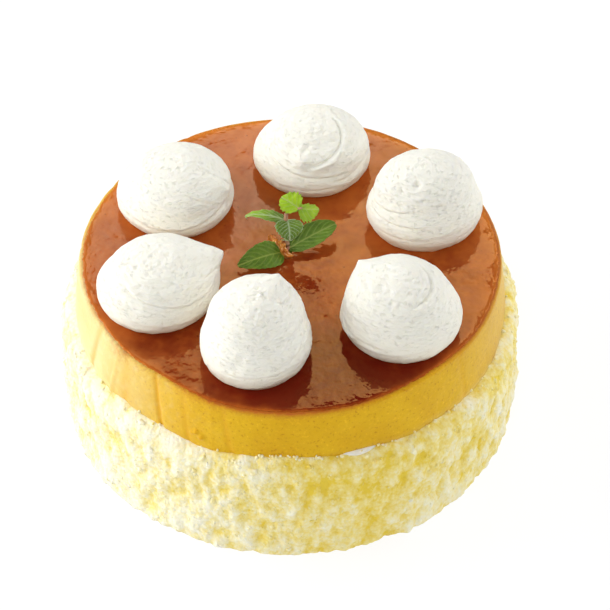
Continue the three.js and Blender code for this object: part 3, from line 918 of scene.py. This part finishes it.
# ---------- the mint sprig
# The top of a garden mint shoot, pushed into the middle of the cake: a pinkish square stem and
# pairs of toothed leaves, dark and matt below, small, crinkled and yellow-green at the tip.
# Ends of the midrib in mm from the stem's foot on the caramel.
stem_foot = Vector((-1.2, 2.4, 0)) * mm + Vector((0, 0, cake_top))
leaves = {
    "right_low": dict(
        start=(-0.7, 2.5, 1.9), end=(16.4, 11.7, 5.6), up=(0.05, -0.45, 1), half=4.7, taper=0.16, arch=1.0,
        fold=((10, 10), (16, 16)), teeth=9, bite=0.06, veins=6, age=(0.0, 0.1), pale=0.45, crinkle=2.0,
    ),
    "left_low": dict(
        start=(-3.2, 1.0, 1.5), end=(-18.6, -6.7, 2.4), up=(-0.1, -0.55, 1), half=5.3, taper=0.7, arch=1.7,
        fold=((8, 8), (8, 8)), teeth=9, bite=0.06, veins=6, age=(0.08, 0.08), pale=0.35, crinkle=2.2,
    ),
    "left_middle": dict(
        start=(-1.6, 4.4, 14.4), end=(-16.2, 7.7, 13.4), up=(0.1, -0.2, 1), half=2.1, taper=0.4, arch=1.9,
        fold=((-35, 30), (25, 5)), teeth=8, bite=0.14, veins=5, age=(0.0, 0.8), pale=0.8, crinkle=1.0,
    ),
    "front_middle": dict(
        start=(-0.9, 3.9, 14.8), end=(-0.1, -1.7, 10.2), up=(0, 0.35, 1), half=5.2, taper=0.6, arch=1.6,
        fold=((6, 6), (10, 10)), teeth=7, bite=0.12, veins=6, age=(0.22, 0.12), pale=1.0, crinkle=2.6,
    ),
    "left_top": dict(
        start=(3.1, 3.7, 21.0), end=(-3.2, 8.4, 21.8), up=(0.15, -0.5, 1), half=4.6, taper=0.4, arch=0.5,
        fold=((8, 8), (8, 8)), teeth=6, bite=0.24, veins=4, age=(1.0, 0.95), pale=0.5, crinkle=0.6,
    ),
    "right_top": dict(
        start=(3.1, 3.7, 21.0), end=(10.2, 3.2, 21.2), up=(0, 0, 1), half=4.9, taper=0.3, arch=-0.2,
        fold=((-22, -22), (-44, -44)), teeth=6, bite=0.24, veins=4, age=(0.85, 0.9), pale=0.5, crinkle=0.6,
    ),
}

leaf_finish = finish(
    "mint leaf", Roughness=0.5, IOR=1.33,
    Subsurface_Weight=0.2, Subsurface_Scale=0.5 * mm, Subsurface_Radius=(0.5, 1.0, 0.1),
)
leaf_old = ramp(
    leaf_finish, speckle(leaf_finish, 260),
    (0.3, (0.055, 0.125, 0.010)), (0.7, (0.135, 0.235, 0.022)),
)
leaf_young = ramp(
    leaf_finish, speckle(leaf_finish, 300),
    (0.3, (0.24, 0.42, 0.008)), (0.7, (0.38, 0.56, 0.012)),
)
leaf_hue = blend(leaf_finish, attribute(leaf_finish, "youth"), leaf_old, leaf_young)
leaf_vein = ramp(
    leaf_finish, attribute(leaf_finish, "pale"), (0.4, (0.34, 0.42, 0.08)), (1.0, (0.52, 0.62, 0.40)),
)
leaf_hue = blend(leaf_finish, attribute(leaf_finish, "vein"), leaf_hue, leaf_vein)
coloured(leaf_finish, leaf_hue)
bumped(leaf_finish, speckle(leaf_finish, 1600, 2, 0.6), 0.12 * mm, 0.7)


def blade_outline(u, taper):
    """Half the leaf's width at a share of its length, fuller near the stalk the more it tapers."""
    fullest = 0.5 - 0.28 * taper
    top = fullest ** fullest * (1 - fullest) ** (1 - fullest)
    return max(0.04, u ** fullest * (1 - u) ** (1 - fullest) / top)


def mint_leaf(start, end, up, half, taper, arch, fold, teeth, bite, veins, age, pale, crinkle):
    """One leaf: a grid laid along the midrib, veined, toothed and given its thickness."""
    start = Vector(start)
    along = Vector(end) - start
    across = Vector(up).cross(along).normalized()
    face = along.cross(across).normalized()
    leaf = bmesh.new()
    ops.create_grid(leaf, x_segments=84, y_segments=36, size=0.5)
    vein, youth, paleness = carried(leaf, "vein", "youth", "pale")
    for vert in leaf.verts:
        u, v = held(vert.co.x + 0.5), 2 * vert.co.y
        side = abs(v)
        tooth = (u * teeth) % 1
        notch = 1 + bite * side ** 4 * ((tooth if tooth < 0.8 else 4 * (1 - tooth)) - 0.5)
        out = v * half * blade_outline(u, taper) * notch
        rib = exp(-((out / 0.26) ** 2))
        branch = ((u - 0.25 * side - 0.18 * side * side) * veins + 0.4 * (v > 0)) % 1
        side_vein = exp(-(((branch - 0.5) / 0.075) ** 2)) * min(1, 8 * side) * (1 - side ** 4)
        puff = (1 - rib) * cos(2 * pi * branch) * min(1, 3 * side) * (1 - side ** 3)
        net = drift(Vector((u * 30, v * 16, half)))
        at_stalk, at_tip = fold[1 if v < 0 else 0]
        turn = held((u - 0.1) / 0.7)
        lift = radians(at_stalk + (at_tip - at_stalk) * turn * turn * (3 - 2 * turn))
        wave = 0.22 * sin(teeth * pi * u) * side ** 2
        height = (
            abs(out) * sin(lift) + 4 * arch * u * (1 - u) + wave - 0.25 * rib
            - crinkle * (0.10 * puff + 0.10 * side_vein - 0.10 * net * (1 - rib))
        )
        vert.co = (start + along * u + across * out * cos(lift) + face * height) * mm
        vert.co += Vector((0, 0, cake_top))
        edge_light = max(0, side - 0.9) * 5 * pale
        threads = 0.3 * pale * max(0, -net) * 2 * (1 - rib)
        vert[vein] = min(1, 0.9 * rib + (0.35 + 0.4 * pale) * side_vein + edge_light + threads)
        vert[youth] = age[0] + (age[1] - age[0]) * turn
        vert[paleness] = pale
    ops.recalc_face_normals(leaf, faces=leaf.faces)
    ops.solidify(leaf, geom=leaf.faces[:], thickness=0.28 * mm)
    return leaf


sprig = bmesh.new()
carried(sprig, "vein", "youth", "pale")
for sizes in leaves.values():
    one = mint_leaf(**sizes)
    one_mesh = bpy.data.meshes.new("one leaf")
    one.to_mesh(one_mesh)
    one.free()
    sprig.from_mesh(one_mesh)
    bpy.data.meshes.remove(one_mesh)
ops.recalc_face_normals(sprig, faces=sprig.faces)
finished("mint_leaves", sprig, leaf_finish, ["mint_sprig"])

# The stem: a soft four-sided shoot, green below and flushed pink between the upper pairs.
stem_finish = finish("mint stem", Roughness=0.45, IOR=1.4)
coloured(
    stem_finish,
    ramp(stem_finish, speckle(stem_finish, 300, 2, 0.5), (0.35, (0.36, 0.22, 0.10)), (0.65, (0.62, 0.30, 0.24))),
)
bumped(stem_finish, speckle(stem_finish, 1500, 2, 0.5), 0.1 * mm, 0.5)
stem_route = (
    (0, 0, -4), (0, 0, 0), (0.1, 0.4, 4), (-0.2, 0.9, 9), (-0.5, 1.4, 14), (-0.1, 2.1, 17.5), (1.6, 1.8, 20),
    (4.3, 1.3, 20.9), (5.6, 1.3, 21.1),
)
stem = bmesh.new()
ring = ops.create_circle(stem, cap_ends=True, segments=12, radius=0.95 * mm)["verts"]
for vert in ring:
    corner_push = 0.12 * cos(4 * atan2(vert.co.y, vert.co.x))
    vert.co *= 1 + corner_push
ops.translate(stem, verts=ring, vec=stem_foot + Vector(stem_route[0]) * mm)
top_face = stem.faces[:][0]
for step, (before, here) in enumerate(zip(stem_route, stem_route[1:])):
    grown = ops.extrude_face_region(stem, geom=[top_face])
    top_face = next(item for item in grown["geom"] if isinstance(item, bmesh.types.BMFace))
    corners = list(top_face.verts)
    ops.translate(stem, verts=corners, vec=(Vector(here) - Vector(before)) * mm)
    middle = top_face.calc_center_median()
    slim = 0.93 if step else 1.0
    ops.scale(stem, verts=corners, vec=(slim, slim, slim), space=Matrix.Translation(-middle))
ops.recalc_face_normals(stem, faces=stem.faces)
stem_piece = finished("mint_stem", stem, stem_finish, [])
smooth = stem_piece.modifiers.new("round", "SUBSURF")
smooth.levels = smooth.render_levels = 2

# ---------- broken jelly round the stem
# Pushing the sprig in cracked the caramel: a torn strip of it stands up behind the stem, lumpy,
# amber and wet, and a few splinters lie at the stem's foot.
shard_finish = finish(
    "amber jelly", Roughness=0.1, IOR=1.5, Specular_Tint=(1.0, 0.8, 0.55, 1),
    Subsurface_Weight=0.6, Subsurface_Scale=1.2 * mm, Subsurface_Radius=(1.0, 0.4, 0.1),
)
coloured(
    shard_finish,
    ramp(
        shard_finish, speckle(shard_finish, 420),
        (0.35, (0.30, 0.075, 0.012)), (0.5, (0.52, 0.18, 0.03)), (0.65, (0.76, 0.38, 0.11)),
    ),
)
bumped(shard_finish, speckle(shard_finish, 700, 2, 0.6), 0.3 * mm, 0.8)
# The strip's route as (x, y, height above the caramel), in mm, from behind the stem to its foot.
torn_route = (
    (-6.6, 9.4, 0.8), (-5.8, 8.5, 2.8), (-4.9, 7.1, 4.0), (-4.1, 5.7, 4.6), (-3.3, 4.4, 5.2), (-2.6, 3.1, 5.6),
    (-1.8, 1.9, 5.6), (-0.8, 1.2, 4.6), (0.1, 1.1, 2.0),
)
shards = bmesh.new()
ops.create_grid(shards, x_segments=100, y_segments=16, size=0.5)
for vert in shards.verts:
    along = min(0.9999, max(0, vert.co.x + 0.5)) * (len(torn_route) - 1)
    up = vert.co.y + 0.5
    before, after = Vector(torn_route[int(along)]), Vector(torn_route[int(along) + 1])
    base = before.lerp(after, along % 1)
    outward = (after - before).to_2d().orthogonal().normalized()
    lean = 0.9 * up * sin(1.4 * along + 0.5) + 0.5 * drift(Vector((along * 1.3, up * 2, 6)))
    height = base.z * (1 + 0.5 * drift(Vector((along * 1.1, 0, 3))))
    vert.co = (base.x + lean * outward.x, base.y + lean * outward.y, up * height - 0.3)
ops.recalc_face_normals(shards, faces=shards.faces)
ops.solidify(shards, geom=shards.faces[:], thickness=2.2)
shards.normal_update()
for vert in shards.verts:
    vert.co += vert.normal * 0.45 * drift(vert.co * 0.9)
for turn in range(5):
    ops.smooth_vert(shards, verts=shards.verts, factor=0.5, use_axis_x=True, use_axis_y=True, use_axis_z=True)
draw = random.Random(5)
for turn in range(7):
    lump = ops.create_icosphere(shards, subdivisions=2, radius=1)["verts"]
    for vert in lump:
        vert.co *= draw.uniform(0.3, 0.5) * (1 + 0.5 * drift(vert.co * 1.9 + Vector((turn, 0, 4))))
    angle = radians(200 + 30 * turn)
    spot = Vector((-1.2 + 1.5 * cos(angle), 2.4 + 1.5 * sin(angle), 0.1))
    ops.translate(shards, verts=lump, vec=spot)
ops.scale(shards, verts=shards.verts, vec=(mm, mm, mm))
ops.translate(shards, verts=shards.verts, vec=(0, 0, cake_top))
ops.recalc_face_normals(shards, faces=shards.faces)
finished("jelly_splinters", shards, shard_finish, [])

# ---------- the table and the light
# A white sweep with soft lamps all round: a soft box with a grid behind the cake, a big lamp above
# the camera, a strong window on the left and a weaker one on the right.
sweep_finish = finish(
    "white table", Roughness=0.9, Base_Color=(0.2, 0.2, 0.2, 1), Emission_Color=(1, 1, 1, 1), Emission_Strength=0.82,
)
table = bmesh.new()
ops.create_grid(table, x_segments=1, y_segments=1, size=6)
table_mesh = bpy.data.meshes.new("table")
table.to_mesh(table_mesh)
table.free()
table_mesh.materials.append(sweep_finish)
table_piece = placed("table", table_mesh)


def soft_light(name, spot, target, across, tall, power, spread=180):
    """A rectangular soft light at a spot, facing a target: sizes in metres, power in watts, spread in degrees."""
    light = bpy.data.lights.new(name, "AREA")
    light.shape = "RECTANGLE"
    light.size = across
    light.size_y = tall
    light.energy = power
    light.spread = radians(spread)
    lamp = placed(name, light)
    lamp.location = spot
    lamp.rotation_euler = (Vector(target) - Vector(spot)).to_track_quat("-Z", "Y").to_euler()


soft_light("back softbox", (0, 0.71, 0.77), (-0.11, 0.09, 0.06), 0.42, 0.35, 0.165, 50)
soft_light("front lamp", (0, -1.0, 1.2), (0, 0, 0.04), 0.7, 0.7, 9.0)
cake_middle = (0, 0, 0.05)
soft_light("left window", (-1.1, 0.15, 0.5), cake_middle, 0.9, 0.8, 12)
soft_light("left front lamp", (-0.9, -0.7, 0.6), cake_middle, 0.7, 0.7, 3)
soft_light("right window", (1.1, 0.0, 0.4), cake_middle, 0.9, 0.8, 4.8)
soft_light("back left lamp", (-0.8, 0.8, 0.7), cake_middle, 0.7, 0.7, 2.3)
soft_light("back right lamp", (0.8, 0.8, 0.7), cake_middle, 0.7, 0.7, 5.7)

world = bpy.data.worlds.new("room")
bpy.context.scene.world = world
world.use_nodes = True
world.node_tree.nodes["Background"].inputs["Color"].default_value = (1, 1, 1, 1)
world.node_tree.nodes["Background"].inputs["Strength"].default_value = 0.03

camera = bpy.data.cameras.new("camera")
camera.sensor_width = 36
camera.lens = 160.75
looks_down = 45.843  # degrees below level
camera_piece = placed("camera", camera)
camera_piece.location = (0.005365, -0.69663, 0.75871)
camera_piece.rotation_euler = (radians(90 - looks_down), 0, 0)
bpy.context.scene.camera = camera_piece
bpy.context.scene.view_settings.view_transform = "Standard"
bpy.context.scene.view_settings.look = "None"

bpy.context.view_layer.update()
